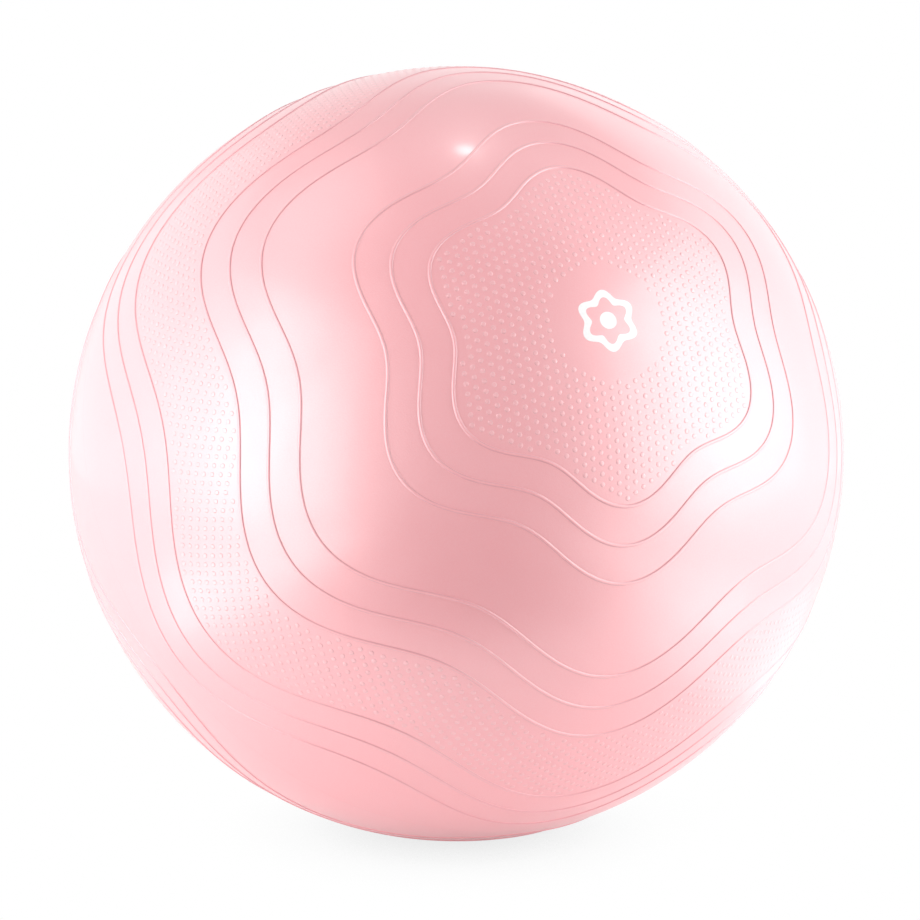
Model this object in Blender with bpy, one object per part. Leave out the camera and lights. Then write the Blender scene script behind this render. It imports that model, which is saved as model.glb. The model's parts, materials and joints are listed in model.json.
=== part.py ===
"""Inflatable exercise ball, 650 mm across, standing on the flat that its own weight presses into it.

Three pieces: the moulded skin with its wavy ribs, the soft valve seat bonded into the skin, and the
push-in air plug, which pulls straight out of the seat. Metres, +Z up, the floor at Z = 0.
"""

from math import cos, pi, radians, sin, sqrt

import bmesh
import bpy
from mathutils import Matrix, Vector

# Ball
RADIUS = 0.325
WALL = 0.0009  # inflated thickness of the skin
FLAT_DEPTH = 0.002  # how far the contact flat cuts into the round shape
CENTRE_HEIGHT = RADIUS - FLAT_DEPTH
TILT = radians(27.4)  # front pole of the rib pattern, above the horizontal and towards -Y

# Ribs: wavy rings about the front pole, mirrored behind the pattern's equator
RIB_GROUPS = ((23.45, 5.0), (46.85, 5.15), (71.45, 5.0))  # first rib and pitch, degrees from the pole
RIBS_PER_GROUP = 3
RIB_WIDTH = 0.0036
RIB_HEIGHT = 0.0009
LOBES = 6
WAVE = radians(4.8)  # half the wave's swing on a rib at the equator
DISC = radians(8.5)  # the plain round disc about each pole
WAVE_FULL = radians(22.0)  # the wave grows from nothing at the disc to full size here
WAVE_TURN = radians(7.5)  # half the belt in which the wave turns over, about the equator

# Facets
COLUMNS = 48
VALVE_SIDES = 24
ROW_STEP = radians(7.5)

# Valve, measured along its axis from the ball's round surface, outward positive
GAP = 0.0003  # between pieces that touch on the real ball
SEAT_RADIUS = 0.014
LIP_RADIUS = 0.019
LIP_FALL = 0.00035  # the lip's top follows the curve of the skin
LIP_THICK = 0.0012
RECESS_RADIUS = 0.0103
RECESS_FLOOR = -0.0026
BORE_RADIUS = 0.0047
NECK_RADIUS = 0.0078
NECK_END = -0.0175
WEB = 0.002  # between the recess and the neck's root
CHAMFER = 0.0006

# Plug
HEAD_RADIUS = RECESS_RADIUS - GAP
HEAD_TOP = 0.0006
STEM_RADIUS = 0.0041
BARB_RADIUS = 0.0044
BARB_TOPS = (-0.0045, -0.0085, -0.0125)
BARB_LENGTH = 0.0025
STEM_END = -0.0215
CORE_RADIUS = 0.0024
CORE_TOP = -0.006

PINK = (0.93, 0.42, 0.45, 1.0)
PALE_PINK = (0.94, 0.55, 0.57, 1.0)
WHITE = (0.9, 0.9, 0.88, 1.0)
SATIN = 0.42
MATT = 0.5
GLOSSY = 0.3

MERGE_DISTANCE = 1e-6
SHARP_ANGLE = radians(35)
EMPTY_SIZE = 0.05


def clear_scene():
    for obj in list(bpy.data.objects):
        bpy.data.objects.remove(obj, do_unlink=True)


def material(name, colour, roughness):
    made = bpy.data.materials.new(name)
    made.use_nodes = True
    shader = made.node_tree.nodes["Principled BSDF"]
    shader.inputs["Base Color"].default_value = colour
    shader.inputs["Roughness"].default_value = roughness
    shader.inputs["Metallic"].default_value = 0.0
    made.diffuse_color = colour
    return made


def empty(name, location, rotation):
    made = bpy.data.objects.new(name, None)
    made.location = location
    made.rotation_euler = rotation
    made.empty_display_size = EMPTY_SIZE
    bpy.context.collection.objects.link(made)
    return made


def finish(name, bm, look, parent):
    """Turns the bmesh into an object of that name, closed and facing out, under its parent."""
    bmesh.ops.remove_doubles(bm, verts=bm.verts, dist=MERGE_DISTANCE)
    bmesh.ops.recalc_face_normals(bm, faces=bm.faces)
    mesh = bpy.data.meshes.new(name)
    bm.to_mesh(mesh)
    bm.free()
    mesh.shade_smooth()
    mesh.set_sharp_from_angle(angle=SHARP_ANGLE)
    mesh.materials.append(look)
    made = bpy.data.objects.new(name, mesh)
    made.parent = parent
    bpy.context.collection.objects.link(made)
    return made


# The rib pattern: a polar angle that wavers round the pole


def smooth_step(value):
    value = min(max(value, 0.0), 1.0)
    return value * value * (3 - 2 * value)


def wave_size(angle):
    """Swing of the ring at this mean angle from the front pole, positive before the equator."""
    from_pole = min(angle, pi - angle)
    grown = smooth_step((from_pole - DISC) / (WAVE_FULL - DISC))
    turned = min(max((pi / 2 - angle) / WAVE_TURN, -1.0), 1.0)
    return WAVE * sin(angle) * grown * turned


def pattern_point(angle, offset, turn, radius):
    """A point of the ring at this mean angle, offset square to it, at this turn from the pattern's top."""
    swing = wave_size(angle)
    slant = sqrt(1 + (LOBES * swing * sin(LOBES * turn) / sin(angle)) ** 2)
    polar = angle + swing * cos(LOBES * turn) + offset * slant
    across = radius * sin(polar)
    return Vector((-across * sin(turn), across * cos(turn), radius * cos(polar)))


def rib_angles():
    """Mean angle of each rib from the front pole, front half first."""
    front = [
        radians(first + pitch * k)
        for first, pitch in RIB_GROUPS
        for k in range(RIBS_PER_GROUP)
    ]
    return front + [pi - angle for angle in reversed(front)]


def rows(hole, ribbed):
    """(mean angle, offset, height) of each row from the front pole to the valve hole."""
    half = RIB_WIDTH / 2 / RADIUS
    marks = [DISC] + rib_angles() + [pi - DISC, pi - hole]
    found = []
    before = 0.0
    for mark in marks:
        is_rib = DISC < mark < pi - DISC
        steps = int((mark - before) / ROW_STEP) + 1
        for k in range(1, steps):
            found.append((before + (mark - before) * k / steps, 0.0, 0.0))
        if is_rib and ribbed:
            found += [(mark, -half, 0.0), (mark, 0.0, RIB_HEIGHT), (mark, half, 0.0)]
        else:
            found.append((mark, 0.0, 0.0))
        before = mark
    return found


def shell_surface(bm, radius, hole, ribbed):
    """One round surface, open at the valve hole. Returns its new faces."""
    pole = bm.verts.new((0, 0, radius))
    turns = [2 * pi * k / COLUMNS for k in range(COLUMNS)]
    faces = []
    last = None
    for angle, offset, height in rows(hole, ribbed):
        ring = [bm.verts.new(pattern_point(angle, offset, turn, radius + height)) for turn in turns]
        for k in range(COLUMNS):
            after = (k + 1) % COLUMNS
            if last is None:
                faces.append(bm.faces.new((pole, ring[k], ring[after])))
            else:
                faces.append(bm.faces.new((last[k], ring[k], ring[after], last[after])))
        last = ring
    return faces


def flattened(radius, hole, ribbed, floor):
    """A round surface cut off level at this height above the floor, with the cut closed."""
    bm = bmesh.new()
    faces = shell_surface(bm, radius, hole, ribbed)
    bmesh.ops.triangulate(bm, faces=faces)
    to_world = Matrix.Translation((0, 0, CENTRE_HEIGHT)) @ Matrix.Rotation(pi / 2 - TILT, 4, "X")
    down = to_world.inverted().to_3x3() @ Vector((0, 0, -1))
    level = to_world.inverted() @ Vector((0, 0, floor))
    cut = bmesh.ops.bisect_plane(
        bm,
        geom=bm.verts[:] + bm.edges[:] + bm.faces[:],
        dist=MERGE_DISTANCE,
        plane_co=level,
        plane_no=down,
        clear_outer=True,
    )
    edges = [item for item in cut["geom_cut"] if isinstance(item, bmesh.types.BMEdge)]
    bmesh.ops.contextual_create(bm, geom=edges)
    return bm


def ball_skin(parent, look):
    """The ribbed outside and the plain inside, joined round the valve hole."""
    hole = (SEAT_RADIUS + GAP) / RADIUS
    bm = flattened(RADIUS, hole, True, 0.0)
    inner = flattened(RADIUS - WALL, hole, False, WALL)
    spare = bpy.data.meshes.new("inner")
    inner.to_mesh(spare)
    inner.free()
    bm.from_mesh(spare)
    bpy.data.meshes.remove(spare)
    rims = [edge for edge in bm.edges if edge.is_boundary]
    bmesh.ops.bridge_loops(bm, edges=rims)
    return finish("ball_skin", bm, look, parent)


def turned(name, profile, parent, look):
    """A piece turned about the valve's axis from its (radius, height) outline, closed on itself."""
    bm = bmesh.new()
    points = [bm.verts.new((radius, 0, height)) for radius, height in profile]
    edges = [bm.edges.new((a, b)) for a, b in zip(points, points[1:] + points[:1])]
    on_axis = [edge for edge in edges if all(vert.co.x == 0 for vert in edge.verts)]
    bmesh.ops.delete(bm, geom=on_axis, context="EDGES")
    bmesh.ops.spin(
        bm,
        geom=bm.verts[:] + bm.edges[:],
        axis=(0, 0, 1),
        cent=(0, 0, 0),
        steps=VALVE_SIDES,
        angle=2 * pi,
        use_merge=True,
    )
    return finish(name, bm, look, parent)


def surface_height(radius):
    """Height of the ball's round surface at this distance from the valve's axis."""
    return sqrt(RADIUS**2 - radius**2) - RADIUS


def valve_seat(parent, look):
    """Recess for the plug's head, a bore in a neck that reaches inwards, and a lip behind the skin."""
    lip_top = surface_height(SEAT_RADIUS) - WALL - GAP
    root = RECESS_FLOOR - WEB
    profile = [
        (SEAT_RADIUS, surface_height(SEAT_RADIUS)),
        (RECESS_RADIUS + CHAMFER, surface_height(RECESS_RADIUS)),
        (RECESS_RADIUS, surface_height(RECESS_RADIUS) - CHAMFER),
        (RECESS_RADIUS, RECESS_FLOOR),
        (BORE_RADIUS + CHAMFER, RECESS_FLOOR),
        (BORE_RADIUS, RECESS_FLOOR - CHAMFER),
        (BORE_RADIUS, NECK_END + CHAMFER),
        (BORE_RADIUS + CHAMFER, NECK_END),
        (NECK_RADIUS - CHAMFER, NECK_END),
        (NECK_RADIUS, NECK_END + CHAMFER),
        (NECK_RADIUS, root - CHAMFER * 2),
        (NECK_RADIUS + CHAMFER * 2, root),
        (LIP_RADIUS, lip_top - LIP_FALL - LIP_THICK),
        (LIP_RADIUS, lip_top - LIP_FALL),
        (SEAT_RADIUS, lip_top),
    ]
    return turned("valve_seat", profile, parent, look)


def air_plug(parent, look):
    """A round head with a bevelled rim on a barbed stem, cored from its inner end."""
    under_head = RECESS_FLOOR + GAP
    profile = [
        (0.0, HEAD_TOP),
        (HEAD_RADIUS - CHAMFER, HEAD_TOP),
        (HEAD_RADIUS, HEAD_TOP - CHAMFER),
        (HEAD_RADIUS, under_head + CHAMFER),
        (HEAD_RADIUS - CHAMFER, under_head),
        (STEM_RADIUS, under_head),
    ]
    for top in BARB_TOPS:
        profile += [(STEM_RADIUS, top), (BARB_RADIUS, top - CHAMFER), (STEM_RADIUS, top - BARB_LENGTH)]
    profile += [
        (STEM_RADIUS, STEM_END + CHAMFER * 2),
        (STEM_RADIUS - CHAMFER, STEM_END),
        (CORE_RADIUS, STEM_END),
        (CORE_RADIUS, CORE_TOP - CORE_RADIUS / 2),
        (CORE_RADIUS / 2, CORE_TOP),
        (0.0, CORE_TOP),
    ]
    return turned("air_plug", profile, parent, look)


def build():
    clear_scene()
    pattern = empty("pattern_axis", (0, 0, CENTRE_HEIGHT), (pi / 2 - TILT, 0, 0))
    # The valve is at the pattern's back pole, so its outward axis is the pattern's reversed.
    outward = Vector((0, cos(TILT), -sin(TILT)))
    mouth = Vector((0, 0, CENTRE_HEIGHT)) + outward * RADIUS
    valve = empty("valve_axis", mouth, (-pi / 2 - TILT, 0, 0))
    skin = material("skin", PINK, SATIN)
    soft = material("valve", PALE_PINK, MATT)
    hard = material("plug", WHITE, GLOSSY)
    ball_skin(pattern, skin)
    valve_seat(valve, soft)
    air_plug(valve, hard)


build()
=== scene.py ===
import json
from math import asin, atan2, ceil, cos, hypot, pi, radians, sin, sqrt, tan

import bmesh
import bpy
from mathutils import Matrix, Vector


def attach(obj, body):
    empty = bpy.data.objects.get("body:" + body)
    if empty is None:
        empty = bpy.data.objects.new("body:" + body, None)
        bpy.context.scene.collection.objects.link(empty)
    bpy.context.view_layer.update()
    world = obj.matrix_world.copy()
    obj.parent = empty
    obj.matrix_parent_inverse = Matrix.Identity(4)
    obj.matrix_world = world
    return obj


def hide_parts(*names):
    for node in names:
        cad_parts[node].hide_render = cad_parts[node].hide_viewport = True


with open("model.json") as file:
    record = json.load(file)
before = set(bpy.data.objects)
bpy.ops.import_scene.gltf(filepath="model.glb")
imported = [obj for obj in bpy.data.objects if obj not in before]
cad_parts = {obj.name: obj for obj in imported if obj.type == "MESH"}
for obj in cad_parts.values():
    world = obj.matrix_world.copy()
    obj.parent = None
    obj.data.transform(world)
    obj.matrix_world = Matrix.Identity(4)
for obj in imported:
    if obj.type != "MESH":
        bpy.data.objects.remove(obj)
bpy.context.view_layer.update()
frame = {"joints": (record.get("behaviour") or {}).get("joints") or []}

# The exercise ball's fine surfaces, materials, studio and camera.
#
# The ball's pattern is a set of wavy rings round one slanted axis. A place on the ball is given by
# the mean angle of the ring that it lies on, measured from the front pole, and by its turn round
# that axis. The front pole looks up and forwards, towards -Y, and the valve is at the back pole.
# The CAD model has the same ribs on a coarse mesh, drawn a little wider. Here they are rounded, and
# the grip dots are added.

# The ball, in metres, with the CAD model's driving dimensions.
RADIUS = 0.325
WALL = 0.0009
FLAT_DEPTH = 0.002
CENTRE = Vector((0, 0, RADIUS - FLAT_DEPTH))
VALVE_OUT = Vector(frame["joints"][0]["axis"]).normalized()
TILT = asin(-VALVE_OUT.z)

# The wavy rings: first rib and pitch of each group, in degrees from the front pole.
RIB_GROUPS = ((23.45, 5.0), (46.85, 5.15), (71.45, 5.0))
RIBS_PER_GROUP = 3
RIB_WIDTH = 0.0030
RIB_HEIGHT = 0.0009
LOBES = 6
WAVE = radians(4.8)
DISC = radians(8.5)
DISC_FIELD = radians(28.5)
WAVE_FULL = radians(22.0)
WAVE_TURN = radians(7.5)

# The skin's mesh.
COLUMNS = 360
RIB_STEPS = 6
RIB_GUARD = 1.12  # where the flat rows beside a rib lie, in half widths of it
RING_SEARCHES = 12
ROW_STEP = radians(1.75)
INNER_COLUMNS = 72
INNER_ROWS = 36
SEAM_WIDTH = 0.0016
SEAM_HEIGHT = 0.00008

# The grip dots: low domes, spread evenly in fields between the groups of ribs.
DOTS_ON_WHOLE_BALL = 23100
DOT_PITCH = 0.0081
DOT_RADIUS = 0.0020
DISC_DOT_HEIGHT = 0.00025
BAND_DOT_HEIGHT = 0.00017
DOT_SIDES = 8
DOT_RINGS = ((1.0, -0.1), (0.78, 0.3), (0.42, 0.82))  # shares of the radius and of the height
DOT_CLEAR_OF_RIB = radians(0.95)
DOT_CLEAR_OF_FLOOR = 0.004

# The printed mark: a generic wavy ring round a spot.
INK_HEIGHT = 0.00012
INK_SUNK = 0.00010
MARK_RADIUS = 0.0195
MARK_STROKE = 0.0064
MARK_WAVE = 0.0026
MARK_SIDES = 240
SPOT_RADIUS = 0.0070
SPOT_SIDES = 96

# The valve seat and the plug, along the valve's axis, outwards from the round surface.
GAP = 0.0003
SEAT_RADIUS = 0.014
LIP_RADIUS = 0.019
LIP_FALL = 0.00035
LIP_THICK = 0.0012
RECESS_RADIUS = 0.0103
RECESS_FLOOR = -0.0026
BORE_RADIUS = 0.0047
NECK_RADIUS = 0.0078
NECK_END = -0.0175
WEB = 0.002
BEAD_RADIUS = 0.0122
BEAD_WIDTH = 0.0011
BEAD_HEIGHT = 0.0003
BEAD_OUTLINE = ((1, 0), (0.5, 0.8), (0, 1), (-0.5, 0.8), (-1, 0))  # shares of half width and height
SEAT_ROUNDING = 0.0005
HEAD_RADIUS = RECESS_RADIUS - GAP
HEAD_TOP = 0.0006
DISH_RADIUS = 0.0072
DISH_DEPTH = 0.0005
PIP_RADIUS = 0.0016
PIP_FOOT_RADIUS = 0.0020
PIP_DROP = 0.0002
STEM_RADIUS = 0.0041
BARB_RADIUS = 0.0044
BARB_TOPS = (-0.0045, -0.0085, -0.0125)
BARB_LENGTH = 0.0025
PLUG_CHAMFER = 0.0006
PLUG_ROUNDING = 0.0004
STEM_END = -0.0215
CORE_RADIUS = 0.0024
CORE_TOP = -0.006

# Turned pieces.
TURNED_SIDES = 96
ROUND_STEPS = 4
ROUNDED_SHARE = 0.45  # the most of a side that one rounded corner takes
ON_AXIS = 1e-6


# ---------------------------------------------------------------- the pattern

def smooth_step(value):
    value = min(max(value, 0.0), 1.0)
    return value * value * (3 - 2 * value)


def wave_size(angle):
    """Swing of the ring that lies at this mean angle from the front pole, positive before the equator."""
    from_pole = min(angle, pi - angle)
    grown = smooth_step((from_pole - DISC) / (WAVE_FULL - DISC))
    turned_over = min(max((pi / 2 - angle) / WAVE_TURN, -1.0), 1.0)
    return WAVE * sin(angle) * grown * turned_over


def polar_angle(angle, offset, turn):
    """Angle from the front pole of a point at this offset square to the ring, at this turn."""
    if angle <= 0:
        return 0.0
    swing = wave_size(angle)
    slant = sqrt(1 + (LOBES * swing * sin(LOBES * turn) / sin(angle)) ** 2)
    return angle + swing * cos(LOBES * turn) + offset * slant


def mean_angle(polar, turn):
    """The mean angle of the ring that passes through a point of the ball."""
    angle = polar
    for _ in range(RING_SEARCHES):
        angle = polar - wave_size(angle) * cos(LOBES * turn)
    return angle


def on_ball(polar, turn, radius):
    """The point at this angle from the front pole, with the turn counted from the pattern's top."""
    across = radius * sin(polar)
    return Vector((-across * sin(turn), across * cos(turn), radius * cos(polar)))


def rib_angles():
    """Mean angle of each rib, from the front pole to the back one. The back half mirrors the front."""
    front = [radians(first + i * step) for first, step in RIB_GROUPS for i in range(RIBS_PER_GROUP)]
    return front + [pi - angle for angle in reversed(front)]


def surface_height(across):
    """Height of the round surface over the tangent plane at the valve, at this radius from its axis."""
    return sqrt(RADIUS ** 2 - across ** 2) - RADIUS


PATTERN = Matrix.Translation(CENTRE) @ Matrix.Rotation(pi / 2 - TILT, 4, "X")
VALVE = Matrix.Translation(CENTRE + VALVE_OUT * RADIUS) @ Matrix.Rotation(-pi / 2 - TILT, 4, "X")


# ---------------------------------------------------------------- mesh helpers

def piece(name, bm, body, look, place=None, sharp=radians(50)):
    """A finished piece of the object from a bmesh, riding on a CAD body."""
    if place is not None:
        bm.transform(place)
    mesh = bpy.data.meshes.new(name)
    bm.to_mesh(mesh)
    bm.free()
    mesh.shade_smooth()
    mesh.set_sharp_from_angle(angle=sharp)
    mesh.materials.append(look)
    made = bpy.data.objects.new(name, mesh)
    bpy.context.scene.collection.objects.link(made)
    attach(made, body)
    return made


def ring_of(bm, points):
    return [bm.verts.new(p) for p in points]


def bridge(bm, first, second):
    """Quads between two rings of equal count, facing out when they run counter-clockwise, top first."""
    for i in range(len(first)):
        j = (i + 1) % len(first)
        bm.faces.new((first[i], second[i], second[j], first[j]))


def fan(bm, ring, point):
    centre = bm.verts.new(point)
    for i in range(len(ring)):
        bm.faces.new((ring[i], ring[(i + 1) % len(ring)], centre))


def rounded(profile, radius):
    """The closed outline with each corner off the axis turned into a short arc."""
    points = [Vector(p) for p in profile]
    result = []
    for i, corner in enumerate(points):
        before = points[i - 1]
        after = points[(i + 1) % len(points)]
        back = before - corner
        ahead = after - corner
        if corner.x < ON_AXIS:
            result.append(corner)
            continue
        cut = min(radius, back.length * ROUNDED_SHARE, ahead.length * ROUNDED_SHARE)
        start = corner + back.normalized() * cut
        end = corner + ahead.normalized() * cut
        for step in range(ROUND_STEPS + 1):
            t = step / ROUND_STEPS
            result.append(start * (1 - t) ** 2 + corner * (2 * t * (1 - t)) + end * t ** 2)
    return result


def turned(profile):
    """A bmesh turned round local Z from a closed outline of (radius, height) points."""
    bm = bmesh.new()
    turns = [2 * pi * k / TURNED_SIDES for k in range(TURNED_SIDES)]
    rings = []
    for across, height in profile:
        if across < ON_AXIS:
            rings.append([bm.verts.new((0, 0, height))])
        else:
            rings.append(ring_of(bm, [(across * cos(t), across * sin(t), height) for t in turns]))
    for first, second in zip(rings, rings[1:] + rings[:1]):
        for k in range(TURNED_SIDES):
            j = (k + 1) % TURNED_SIDES
            corners = [first[k % len(first)], second[k % len(second)]]
            corners += [second[j % len(second)], first[j % len(first)]]
            kept = [c for i, c in enumerate(corners) if c not in corners[:i]]
            if len(kept) > 2:
                bm.faces.new(kept)
    bmesh.ops.recalc_face_normals(bm, faces=bm.faces)
    return bm


# ---------------------------------------------------------------- the skin

def spaced(start, end):
    """Evenly spaced angles between two others, neither of them included."""
    count = max(ceil((end - start) / ROW_STEP), 1)
    return [start + (end - start) * k / count for k in range(1, count)]


def skin_rows(last_angle):
    """(mean angle, offset, height) of each row of the skin's mesh, after the pole and to the valve."""
    rows = []
    reached = 0.0
    half = RIB_WIDTH / 2 / RADIUS
    seam = SEAM_WIDTH / 2 / RADIUS
    raised = [(angle, half, RIB_HEIGHT) for angle in rib_angles()]
    raised.append((pi / 2, seam, SEAM_HEIGHT))
    arc = [pi * step / RIB_STEPS for step in range(RIB_STEPS + 1)]
    for angle, reach, height in sorted(raised):
        rows += [(a, 0.0, 0.0) for a in spaced(reached, angle - reach)]
        rows.append((angle, -RIB_GUARD * reach, 0.0))
        rows += [(angle, -cos(t) * reach, sin(t) * height) for t in arc]
        rows.append((angle, RIB_GUARD * reach, 0.0))
        reached = angle + reach
    rows += [(a, 0.0, 0.0) for a in spaced(reached, last_angle)]
    rows.append((last_angle, 0.0, 0.0))
    return rows


def outer_shell(hole_angle):
    """The ribbed outside. Returns the bmesh and the ring of vertices round the valve hole."""
    bm = bmesh.new()
    turns = [2 * pi * k / COLUMNS for k in range(COLUMNS)]
    rings = []
    for angle, offset, height in skin_rows(pi - hole_angle):
        radius = RADIUS + height
        rings.append(ring_of(bm, [on_ball(polar_angle(angle, offset, t), t, radius) for t in turns]))
    fan(bm, rings[0], (0, 0, RADIUS))
    for first, second in zip(rings, rings[1:]):
        bridge(bm, first, second)
    return bm, rings[-1]


def inner_shell(bm, hole_angle):
    """Adds the plain inside, facing in. Returns its ring of vertices round the valve hole."""
    radius = RADIUS - WALL
    turns = [2 * pi * k / INNER_COLUMNS for k in range(INNER_COLUMNS)]
    rings = []
    for row in range(1, INNER_ROWS + 1):
        polar = (pi - hole_angle) * row / INNER_ROWS
        rings.append(ring_of(bm, [on_ball(polar, t, radius) for t in turns]))
    fan(bm, rings[0][::-1], (0, 0, radius))
    for first, second in zip(rings, rings[1:]):
        bridge(bm, second, first)
    return rings[-1]


def join_rims(bm, outer, inner):
    """The wall of the valve hole, between a fine ring and one with fewer columns."""
    per_column = len(outer) // len(inner)
    for i, corner in enumerate(inner):
        first = i * per_column
        for k in range(first, first + per_column):
            bm.faces.new((outer[k], corner, outer[(k + 1) % len(outer)]))
        following = inner[(i + 1) % len(inner)]
        bm.faces.new((outer[(first + per_column) % len(outer)], corner, following))


def ball_skin(look):
    """The skin as one closed shell: ribbed outside, plain inside, a valve hole and a contact flat."""
    hole_angle = asin((SEAT_RADIUS + GAP) / RADIUS)
    bm, outer_rim = outer_shell(hole_angle)
    inner_rim = inner_shell(bm, hole_angle)
    join_rims(bm, outer_rim, inner_rim)
    bm.transform(PATTERN)
    settle(bm)
    bmesh.ops.recalc_face_normals(bm, faces=bm.faces)
    made = piece("skin_surface", bm, "ball", look)
    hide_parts("ball_skin")


def settle(bm):
    """Presses the underside of the skin level on the floor, and its inside level one wall above."""
    inside = RADIUS - WALL / 2
    for vertex in bm.verts:
        floor = 0.0 if (vertex.co - CENTRE).length > inside else WALL
        vertex.co.z = max(vertex.co.z, floor)


# ---------------------------------------------------------------- the grip dots

def dot_fields():
    """(name, first and last mean angle, height, places) of each field, kept clear of its ribs."""
    first_rib = radians(RIB_GROUPS[0][0]) - DOT_CLEAR_OF_RIB
    second_group, step = RIB_GROUPS[1]
    band_start = radians(second_group + step * (RIBS_PER_GROUP - 1)) + DOT_CLEAR_OF_RIB
    band_end = radians(RIB_GROUPS[2][0]) - DOT_CLEAR_OF_RIB
    spread = list(spread_dots())
    columns = list(disc_dots())
    return (
        ("grip_dots_front_disc", DISC, first_rib, DISC_DOT_HEIGHT, columns),
        ("grip_dots_front_band", band_start, band_end, BAND_DOT_HEIGHT, spread),
        ("grip_dots_back_band", pi - band_end, pi - band_start, BAND_DOT_HEIGHT, spread),
        ("grip_dots_back_disc", pi - first_rib, pi - DISC, DISC_DOT_HEIGHT, columns),
    )


def spread_dots():
    """(polar angle, turn) of points spread evenly over the whole ball, for the bands."""
    golden = pi * (3 - sqrt(5))
    for k in range(DOTS_ON_WHOLE_BALL):
        height = 1 - (2 * k + 1) / DOTS_ON_WHOLE_BALL
        yield pi / 2 - asin(height), (golden * k) % (2 * pi)


def disc_dots():
    """(polar angle, turn) of points round both poles, in columns each half a pitch off the next."""
    column_step = DOT_PITCH * cos(pi / 6) / RADIUS
    row_step = DOT_PITCH / RADIUS
    reach = ceil(DISC_FIELD / column_step)
    for column in range(-reach, reach + 1):
        for row in range(-reach, reach + 1):
            across = column * column_step
            along = (row + column % 2 / 2) * row_step
            polar = hypot(across, along)
            turn = atan2(-across, along)
            yield polar, turn
            yield pi - polar, turn


def add_dome(bm, place, top):
    """One closed low dome on the local XY plane of this place, its foot sunk into the skin."""
    turns = [2 * pi * k / DOT_SIDES for k in range(DOT_SIDES)]
    rings = []
    for share, rise in DOT_RINGS:
        across = share * DOT_RADIUS
        points = [Vector((across * cos(t), across * sin(t), rise * top)) for t in turns]
        rings.append(ring_of(bm, [place @ p for p in points]))
    bm.faces.new(rings[0][::-1])
    for outer, inner in zip(rings, rings[1:]):
        bridge(bm, inner, outer)
    fan(bm, rings[-1], place @ Vector((0, 0, top)))


def grip_dots(look):
    for name, first, last, height, places in dot_fields():
        bm = bmesh.new()
        for polar, turn in places:
            point = PATTERN @ on_ball(polar, turn, RADIUS)
            if point.z < DOT_CLEAR_OF_FLOOR or not first < mean_angle(polar, turn) < last:
                continue
            outward = (point - CENTRE).normalized()
            place = Matrix.Translation(point) @ outward.to_track_quat("Z", "Y").to_matrix().to_4x4()
            add_dome(bm, place, height)
        piece(name, bm, "ball", look, sharp=pi)


# ---------------------------------------------------------------- the printed mark

def on_disc(across, turn, height):
    """A point at this distance from the front pole along the surface, at this height above it."""
    return on_ball(across / RADIUS, turn, RADIUS + height)


def ink_band(bm, inner, outer, columns):
    """A thin closed band between two outlines, each a function of the turn."""
    turns = [2 * pi * k / columns for k in range(columns)]
    section = ((inner, -INK_SUNK), (inner, INK_HEIGHT), (outer, INK_HEIGHT), (outer, -INK_SUNK))
    loops = [ring_of(bm, [on_disc(edge(t), t, height) for t in turns]) for edge, height in section]
    for first, second in zip(loops, loops[1:] + loops[:1]):
        bridge(bm, first, second)


def printed_mark(look):
    """The wavy ring and the spot, as thin closed slabs of ink sunk a little into the skin."""
    def ring_edge(side):
        return lambda t: MARK_RADIUS + MARK_WAVE * cos(LOBES * t) + side * MARK_STROKE / 2

    bm = bmesh.new()
    ink_band(bm, ring_edge(-1), ring_edge(1), MARK_SIDES)
    turns = [2 * pi * k / SPOT_SIDES for k in range(SPOT_SIDES)]
    top = ring_of(bm, [on_disc(SPOT_RADIUS, t, INK_HEIGHT) for t in turns])
    foot = ring_of(bm, [on_disc(SPOT_RADIUS, t, -INK_SUNK) for t in turns])
    fan(bm, top, (0, 0, RADIUS + INK_HEIGHT))
    bridge(bm, top, foot)
    fan(bm, foot[::-1], (0, 0, RADIUS - INK_SUNK))
    bmesh.ops.recalc_face_normals(bm, faces=bm.faces)
    piece("printed_mark", bm, "ball", look, PATTERN)


# ---------------------------------------------------------------- the valve

def valve_seat(look):
    """Seat face with a moulded bead, recess for the plug's head, bore, neck and the inner lip."""
    lip_top = surface_height(SEAT_RADIUS) - WALL - GAP
    root = RECESS_FLOOR - WEB
    bead = [
        (BEAD_RADIUS + side * BEAD_WIDTH / 2, surface_height(BEAD_RADIUS) + share * BEAD_HEIGHT)
        for side, share in BEAD_OUTLINE
    ]
    profile = [
        (SEAT_RADIUS, surface_height(SEAT_RADIUS)),
        *bead,
        (RECESS_RADIUS, surface_height(RECESS_RADIUS)),
        (RECESS_RADIUS, RECESS_FLOOR),
        (BORE_RADIUS, RECESS_FLOOR),
        (BORE_RADIUS, NECK_END),
        (NECK_RADIUS, NECK_END),
        (NECK_RADIUS, root),
        (LIP_RADIUS, lip_top - LIP_FALL - LIP_THICK),
        (LIP_RADIUS, lip_top - LIP_FALL),
        (SEAT_RADIUS, lip_top),
    ]
    bm = turned(rounded(profile, SEAT_ROUNDING))
    made = piece("valve_seat_surface", bm, "ball", look, VALVE, sharp=radians(40))
    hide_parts("valve_seat")


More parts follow.
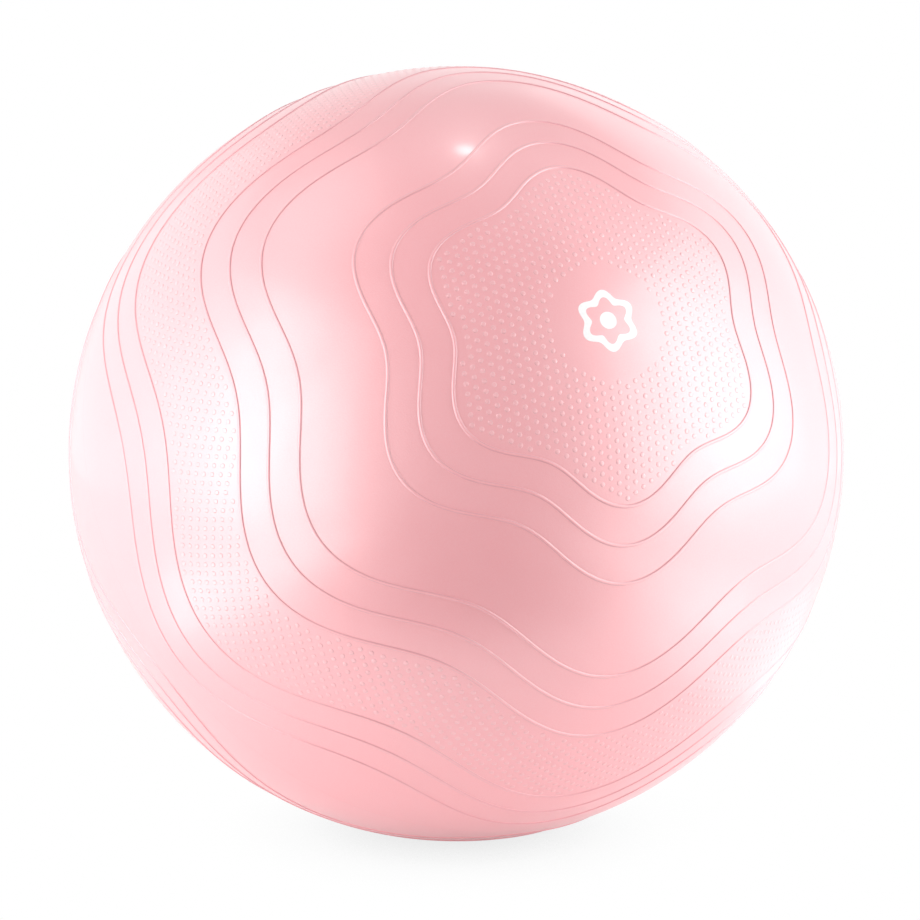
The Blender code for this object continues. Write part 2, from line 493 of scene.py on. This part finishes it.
def air_plug(look):
    """Push-in plug: a dished head with a centre pip, and a barbed stem cored from its inner end."""
    under_head = RECESS_FLOOR + GAP
    profile = [
        (0.0, HEAD_TOP - PIP_DROP),
        (PIP_RADIUS, HEAD_TOP - PIP_DROP),
        (PIP_FOOT_RADIUS, HEAD_TOP - DISH_DEPTH),
        (DISH_RADIUS, HEAD_TOP - DISH_DEPTH),
        (DISH_RADIUS + PLUG_CHAMFER, HEAD_TOP),
        (HEAD_RADIUS, HEAD_TOP),
        (HEAD_RADIUS, under_head),
        (STEM_RADIUS, under_head),
    ]
    for top in BARB_TOPS:
        profile += [
            (STEM_RADIUS, top),
            (BARB_RADIUS, top - PLUG_CHAMFER),
            (STEM_RADIUS, top - BARB_LENGTH),
        ]
    profile += [
        (STEM_RADIUS, STEM_END + 2 * PLUG_CHAMFER),
        (STEM_RADIUS - PLUG_CHAMFER, STEM_END),
        (CORE_RADIUS, STEM_END),
        (CORE_RADIUS, CORE_TOP - CORE_RADIUS / 2),
        (CORE_RADIUS / 2, CORE_TOP),
        (0.0, CORE_TOP),
    ]
    bm = turned(rounded(profile, PLUG_ROUNDING))
    made = piece("plug_surface", bm, "plug", look, VALVE, sharp=radians(40))
    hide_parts("air_plug")


# ---------------------------------------------------------------- materials

# Heights above the plain ball between which the painted shade on a rib's sides fades in and out again.
FLANK_SHADE_FOOT = (0.00004, 0.00030)
FLANK_SHADE_TOP = (RIB_HEIGHT * 0.75, RIB_HEIGHT * 0.97)


class Look:
    """A material in the making, with short names for the nodes that the materials share."""

    def __init__(self, name):
        self.material = bpy.data.materials.new(name)
        self.material.use_nodes = True
        self.nodes = self.material.node_tree.nodes
        self.links = self.material.node_tree.links
        self.shader = self.nodes["Principled BSDF"]
        self.place = self.nodes.new("ShaderNodeTexCoord").outputs["Object"]

    def noise(self, scale, detail=3.0, roughness=0.5):
        node = self.nodes.new("ShaderNodeTexNoise")
        node.inputs["Scale"].default_value = scale
        node.inputs["Detail"].default_value = detail
        node.inputs["Roughness"].default_value = roughness
        self.links.new(self.place, node.inputs["Vector"])
        return node.outputs["Fac"]

    def between(self, value, low, high, start=0.35, end=0.65):
        """The value mapped to low to high. By default it starts as noise, mostly 0.35 to 0.65."""
        node = self.nodes.new("ShaderNodeMapRange")
        node.inputs["From Min"].default_value = start
        node.inputs["From Max"].default_value = end
        node.inputs["To Min"].default_value = low
        node.inputs["To Max"].default_value = high
        self.links.new(value, node.inputs["Value"])
        return node.outputs["Result"]

    def mixed(self, value, first, second):
        node = self.nodes.new("ShaderNodeMix")
        node.data_type = "RGBA"
        self.links.new(value, node.inputs["Factor"])
        for socket, colour in ((node.inputs["A"], first), (node.inputs["B"], second)):
            if isinstance(colour, bpy.types.NodeSocket):
                self.links.new(colour, socket)
            else:
                socket.default_value = (*colour, 1)
        return node.outputs["Result"]

    def height(self, low, high):
        """0 where the surface stands out this low from the plain ball, up to 1 where this high."""
        offset = self.nodes.new("ShaderNodeVectorMath")
        offset.operation = "DISTANCE"
        offset.inputs[1].default_value = CENTRE
        self.links.new(self.place, offset.inputs[0])
        return self.between(offset.outputs["Value"], 0.0, 1.0, RADIUS + low, RADIUS + high)

    def bump(self, height, distance):
        node = self.nodes.new("ShaderNodeBump")
        node.inputs["Distance"].default_value = distance
        self.links.new(height, node.inputs["Height"])
        return node.outputs["Normal"]

    def finish(self, colour, roughness, normal, **fixed):
        """Links the three and sets the fixed values, named as on the shader with underscores."""
        self.links.new(colour, self.shader.inputs["Base Color"])
        self.links.new(roughness, self.shader.inputs["Roughness"])
        self.links.new(normal, self.shader.inputs["Normal"])
        for name, value in fixed.items():
            self.shader.inputs[name.replace("_", " ")].default_value = value
        return self.material


def pearl_skin(name, painted_highlight, painted_flank_shade=None):
    """Pink soft PVC with pearl pigment, which shines more strongly and broadly than plain plastic.

    The second argument is added to the green and blue: the dots get it as a painted highlight, drawn
    paler than the skin for the light their domes catch. The third is a darker pink mixed into the ribs'
    sides as painted shade.
    """
    look = Look(name)
    cloud = look.between(look.noise(7.0), 0.0, 1.0)
    fleck = look.between(look.noise(900.0, 2.0), 0.0, 1.0)
    # The second argument lifts the green and blue: on the dots it is a painted highlight for the light
    # their domes catch.
    deep_pink = (0.93, 0.37 + painted_highlight, 0.40 + painted_highlight)
    light_pink = (0.94, 0.39 + painted_highlight, 0.42 + painted_highlight)
    base = look.mixed(cloud, deep_pink, light_pink)
    colour = look.mixed(look.between(fleck, 0.0, 0.12, 0.0, 1.0), base, (0.95, 0.60, 0.63))
    # Painted shade: a darker pink mixed into the ribs' sides, between two heights over the plain ball.
    if painted_flank_shade:
        pearl = colour
        raised = look.mixed(look.height(*FLANK_SHADE_FOOT), pearl, painted_flank_shade)
        colour = look.mixed(look.height(*FLANK_SHADE_TOP), raised, pearl)
    roughness = look.between(look.noise(45.0), 0.40, 0.44)
    grain = look.bump(look.noise(900.0, 2.0), 0.00008)
    shine = {"IOR": 2.6, "Coat_Weight": 0.4, "Coat_Roughness": 0.15}
    sheen = {"Sheen_Weight": 0.5, "Sheen_Roughness": 0.4}
    return look.finish(colour, roughness, grain, **shine, **sheen)


def soft_pvc():
    look = Look("valve_pvc")
    cloud = look.between(look.noise(160.0), 0.0, 1.0)
    colour = look.mixed(cloud, (0.93, 0.47, 0.50), (0.95, 0.51, 0.53))
    roughness = look.between(look.noise(400.0), 0.42, 0.52)
    grain = look.bump(look.noise(2600.0, 2.0), 0.00003)
    return look.finish(colour, roughness, grain, IOR=1.53)


def white_plastic():
    look = Look("plug_polyethylene")
    cloud = look.between(look.noise(220.0), 0.0, 1.0)
    colour = look.mixed(cloud, (0.86, 0.86, 0.84), (0.91, 0.91, 0.89))
    roughness = look.between(look.noise(500.0), 0.26, 0.36)
    grain = look.bump(look.noise(1800.0, 2.0), 0.00002)
    return look.finish(colour, roughness, grain, IOR=1.51)


def white_ink():
    look = Look("print_ink")
    cloud = look.between(look.noise(350.0), 0.0, 1.0)
    colour = look.mixed(cloud, (0.93, 0.92, 0.92), (0.97, 0.96, 0.96))
    roughness = look.between(look.noise(700.0), 0.40, 0.52)
    grain = look.bump(look.noise(2200.0, 2.0), 0.00002)
    return look.finish(colour, roughness, grain, IOR=1.5)


# ---------------------------------------------------------------- the studio

VIEW_AZIMUTH = radians(-23.6)
VIEW_ELEVATION = radians(10.0)
VIEW_DISTANCE = 9 * RADIUS
LENS = 135.5
SENSOR_WIDTH = 36
AIM_RIGHT = 0.0028
AIM_UP = -0.0056

# Lamps. Their radiance is 1 for the white of a bright page.
PANEL_DISTANCE = 1.7
PANEL_FOOT = 0.02
PANEL_TOP = 2.0
EDGE_FOOT = 0.15
EDGE_TOP = 1.1
CEILING_SIZE = 0.95
CEILING_HEIGHT = 2.05
CEILING_ASIDE = 0.95
FLOOR_LAMP_HEIGHT = 0.012
SPARK_WIDTH = 0.10
SPARK_HEIGHT = 0.06
SPARK_ASIDE = radians(168.4)
SPARK_RISE = radians(80.3)
SPARK_DISTANCE = 1.62
SPARK_RADIANCE = 52.0
ROOM_LIGHT = 0.42

# Floor. The camera sees it glowing white, with a painted shadow under the ball.
FLOOR_RADIUS = 30
FLOOR_SIDES = 96
FLOOR_ALBEDO = 0.9
DARK_FLOOR_WIDTH = 1.2
DARK_FLOOR_START = 0.55
DARK_FLOOR_LENGTH = 2.0
DARK_FLOOR_ALBEDO = 0.2
DARK_FLOOR_HEIGHT = 0.0001
SHADOW_DISTANCE = 1.5
SHADOW_SAMPLES = 8
SHADOW_REACH = 0.29  # the shadow ends where this share of the sky over the floor is open
SHADOW_DEPTH = 0.22


def towards(azimuth, elevation):
    """Unit vector to a place round the ball. Azimuth 0 is -Y, and it grows towards +X."""
    flat = cos(elevation)
    return Vector((sin(azimuth) * flat, -cos(azimuth) * flat, sin(elevation)))


def facing(thing, target):
    """Turns a lamp or camera to look at a point, upright."""
    thing.rotation_mode = "QUATERNION"
    thing.rotation_quaternion = (Vector(target) - thing.location).to_track_quat("-Z", "Y")


def add_camera():
    back = towards(VIEW_AZIMUTH, VIEW_ELEVATION)
    right = Vector((cos(VIEW_AZIMUTH), sin(VIEW_AZIMUTH), 0))
    up = back.cross(right)
    data = bpy.data.cameras.new("camera")
    data.sensor_width = SENSOR_WIDTH
    data.lens = LENS
    camera = bpy.data.objects.new("camera", data)
    bpy.context.scene.collection.objects.link(camera)
    camera.location = CENTRE + back * VIEW_DISTANCE
    facing(camera, CENTRE + right * AIM_RIGHT + up * AIM_UP)
    bpy.context.scene.camera = camera


def add_lamp(name, width, height, radiance):
    """A plain rectangular lamp of this brightness, which the camera doesn't see."""
    data = bpy.data.lights.new(name, "AREA")
    data.shape = "RECTANGLE"
    data.size = width
    data.size_y = height
    data.energy = radiance * pi * width * height
    lamp = bpy.data.objects.new(name, data)
    bpy.context.scene.collection.objects.link(lamp)
    lamp.visible_camera = False
    return lamp


def softbox(name, start, end, radiance, foot=PANEL_FOOT, top=PANEL_TOP):
    """An upright panel between two azimuths, in degrees to the right of the camera's own."""
    direction = towards(VIEW_AZIMUTH + radians((start + end) / 2), 0)
    width = 2 * PANEL_DISTANCE * tan(radians(end - start) / 2)
    lamp = add_lamp(name, width, top - foot, radiance)
    middle = Vector((0, 0, (top + foot) / 2))
    lamp.location = direction * PANEL_DISTANCE + middle
    facing(lamp, middle)


def studio_place(across, forward, height):
    """A place this far to the camera's right of the ball, this far towards the camera and this high."""
    right = towards(VIEW_AZIMUTH + pi / 2, 0)
    front = towards(VIEW_AZIMUTH, 0)
    return right * across + front * forward + Vector((0, 0, height))


def ceiling_panel(name, across, radiance):
    """A square panel over one side of the ball, shining down."""
    lamp = add_lamp(name, CEILING_SIZE, CEILING_SIZE, radiance)
    lamp.location = studio_place(across, 0, CEILING_HEIGHT)
    lamp.rotation_euler = (0, 0, VIEW_AZIMUTH)


def floor_panel(name, across, forward, width, length, radiance):
    """A panel lying on the floor, shining up."""
    lamp = add_lamp(name, width, length, radiance)
    lamp.location = studio_place(across, forward, FLOOR_LAMP_HEIGHT)
    lamp.rotation_euler = (pi, 0, VIEW_AZIMUTH)


def studio():
    """Softboxes at both sides, brightest in the middle, walls behind, panels above and below."""
    softbox("left_softbox", -92, -28, 1.4)
    softbox("left_softbox_middle", -70, -48, 1.55)
    softbox("left_softbox_edge", -52, -30, 1.1, EDGE_FOOT, EDGE_TOP)
    softbox("right_softbox", 48, 112, 1.95)
    softbox("right_softbox_middle", 60, 90, 1.0)
    softbox("right_softbox_edge", 34, 56, 0.5, EDGE_FOOT, EDGE_TOP)
    softbox("left_wall", -150, -92, 0.9)
    softbox("right_wall", 112, 170, 0.87)
    softbox("back_wall", 170, 210, 0.3)
    ceiling_panel("ceiling_left", -CEILING_ASIDE, 1.1)
    ceiling_panel("ceiling_right", CEILING_ASIDE, 0.6)
    floor_panel("low_left", -0.65, 0.55, 0.3, 0.9, 1.9)
    floor_panel("low_left_front", -0.85, 1.2, 0.6, 0.5, 1.8)
    floor_panel("low_right", 0.5, 0.0, 0.3, 0.8, 0.6)
    floor_panel("low_right_middle", 0.65, 0.55, 0.3, 0.9, 1.0)
    floor_panel("low_right_front", 0.85, 1.2, 0.6, 0.5, 0.5)
    spark = add_lamp("spark", SPARK_WIDTH, SPARK_HEIGHT, SPARK_RADIANCE)
    spark.location = CENTRE + towards(VIEW_AZIMUTH + SPARK_ASIDE, SPARK_RISE) * SPARK_DISTANCE
    facing(spark, CENTRE)


def white_room():
    """Surroundings that look white, and light the ball only dimly."""
    made = bpy.data.worlds.new("white_room")
    bpy.context.scene.world = made
    made.use_nodes = True
    nodes = made.node_tree.nodes
    links = made.node_tree.links
    background = nodes["Background"]
    background.inputs["Color"].default_value = (1, 1, 1, 1)
    path = nodes.new("ShaderNodeLightPath")
    strength = nodes.new("ShaderNodeMapRange")
    strength.inputs["To Min"].default_value = ROOM_LIGHT
    strength.inputs["To Max"].default_value = 1.0
    links.new(path.outputs["Is Camera Ray"], strength.inputs["Value"])
    links.new(strength.outputs["Result"], background.inputs["Strength"])


def floor_look(name, albedo):
    """A floor that the camera sees glowing white, with a painted shadow under the ball.

    The albedo is what it gives back to the ball as light.
    """
    look = bpy.data.materials.new(name)
    look.use_nodes = True
    nodes = look.node_tree.nodes
    links = look.node_tree.links
    nodes.clear()
    # Painted shadow: the glow that the camera sees is dimmed where the ball covers the sky over the
    # floor.
    sky = nodes.new("ShaderNodeAmbientOcclusion")
    sky.samples = SHADOW_SAMPLES
    sky.inputs["Distance"].default_value = SHADOW_DISTANCE
    covered = nodes.new("ShaderNodeMapRange")
    covered.inputs["From Max"].default_value = SHADOW_REACH
    covered.inputs["To Min"].default_value = 1.0
    covered.inputs["To Max"].default_value = 0.0
    squared = nodes.new("ShaderNodeMath")
    squared.operation = "POWER"
    squared.inputs[1].default_value = 2.0
    shade = nodes.new("ShaderNodeMapRange")
    shade.inputs["To Min"].default_value = 1.0
    shade.inputs["To Max"].default_value = 1.0 - SHADOW_DEPTH
    white = nodes.new("ShaderNodeEmission")
    plain = nodes.new("ShaderNodeBsdfDiffuse")
    plain.inputs["Color"].default_value = (albedo, albedo, albedo, 1)
    path = nodes.new("ShaderNodeLightPath")
    mix = nodes.new("ShaderNodeMixShader")
    output = nodes.new("ShaderNodeOutputMaterial")
    links.new(sky.outputs["AO"], covered.inputs["Value"])
    links.new(covered.outputs["Result"], squared.inputs[0])
    links.new(squared.outputs["Value"], shade.inputs["Value"])
    links.new(shade.outputs["Result"], white.inputs["Strength"])
    links.new(path.outputs["Is Camera Ray"], mix.inputs["Fac"])
    links.new(plain.outputs["BSDF"], mix.inputs[1])
    links.new(white.outputs["Emission"], mix.inputs[2])
    links.new(mix.outputs["Shader"], output.inputs["Surface"])
    return look


def floor_piece(name, corners, albedo):
    """One flat face of the floor."""
    bm = bmesh.new()
    bm.faces.new([bm.verts.new(corner) for corner in corners])
    mesh = bpy.data.meshes.new(name)
    bm.to_mesh(mesh)
    bm.free()
    mesh.materials.append(floor_look(name, albedo))
    floor = bpy.data.objects.new(name, mesh)
    bpy.context.scene.collection.objects.link(floor)


def add_floor():
    """A white floor, with a darker stretch in front of the ball that the camera sees as white too."""
    turns = [2 * pi * k / FLOOR_SIDES for k in range(FLOOR_SIDES)]
    round_edge = [(FLOOR_RADIUS * cos(t), FLOOR_RADIUS * sin(t), 0) for t in turns]
    floor_piece("floor", round_edge, FLOOR_ALBEDO)
    half = DARK_FLOOR_WIDTH / 2
    end = DARK_FLOOR_START + DARK_FLOOR_LENGTH
    outline = ((half, DARK_FLOOR_START), (half, end), (-half, end), (-half, DARK_FLOOR_START))
    corners = [studio_place(across, forward, DARK_FLOOR_HEIGHT) for across, forward in outline]
    floor_piece("floor_in_front", corners, DARK_FLOOR_ALBEDO)


# ---------------------------------------------------------------- the scene

# The ribs' sides get a darker pink as painted shade.
ball_skin(pearl_skin("pearl_pvc", 0.0, painted_flank_shade=(0.77, 0.31, 0.35)))
# The dots are drawn paler than the skin, as a painted highlight.
grip_dots(pearl_skin("pearl_dots", 0.05))
printed_mark(white_ink())
valve_seat(soft_pvc())
air_plug(white_plastic())
add_floor()
studio()
white_room()
add_camera()
bpy.context.scene.view_settings.view_transform = "Standard"
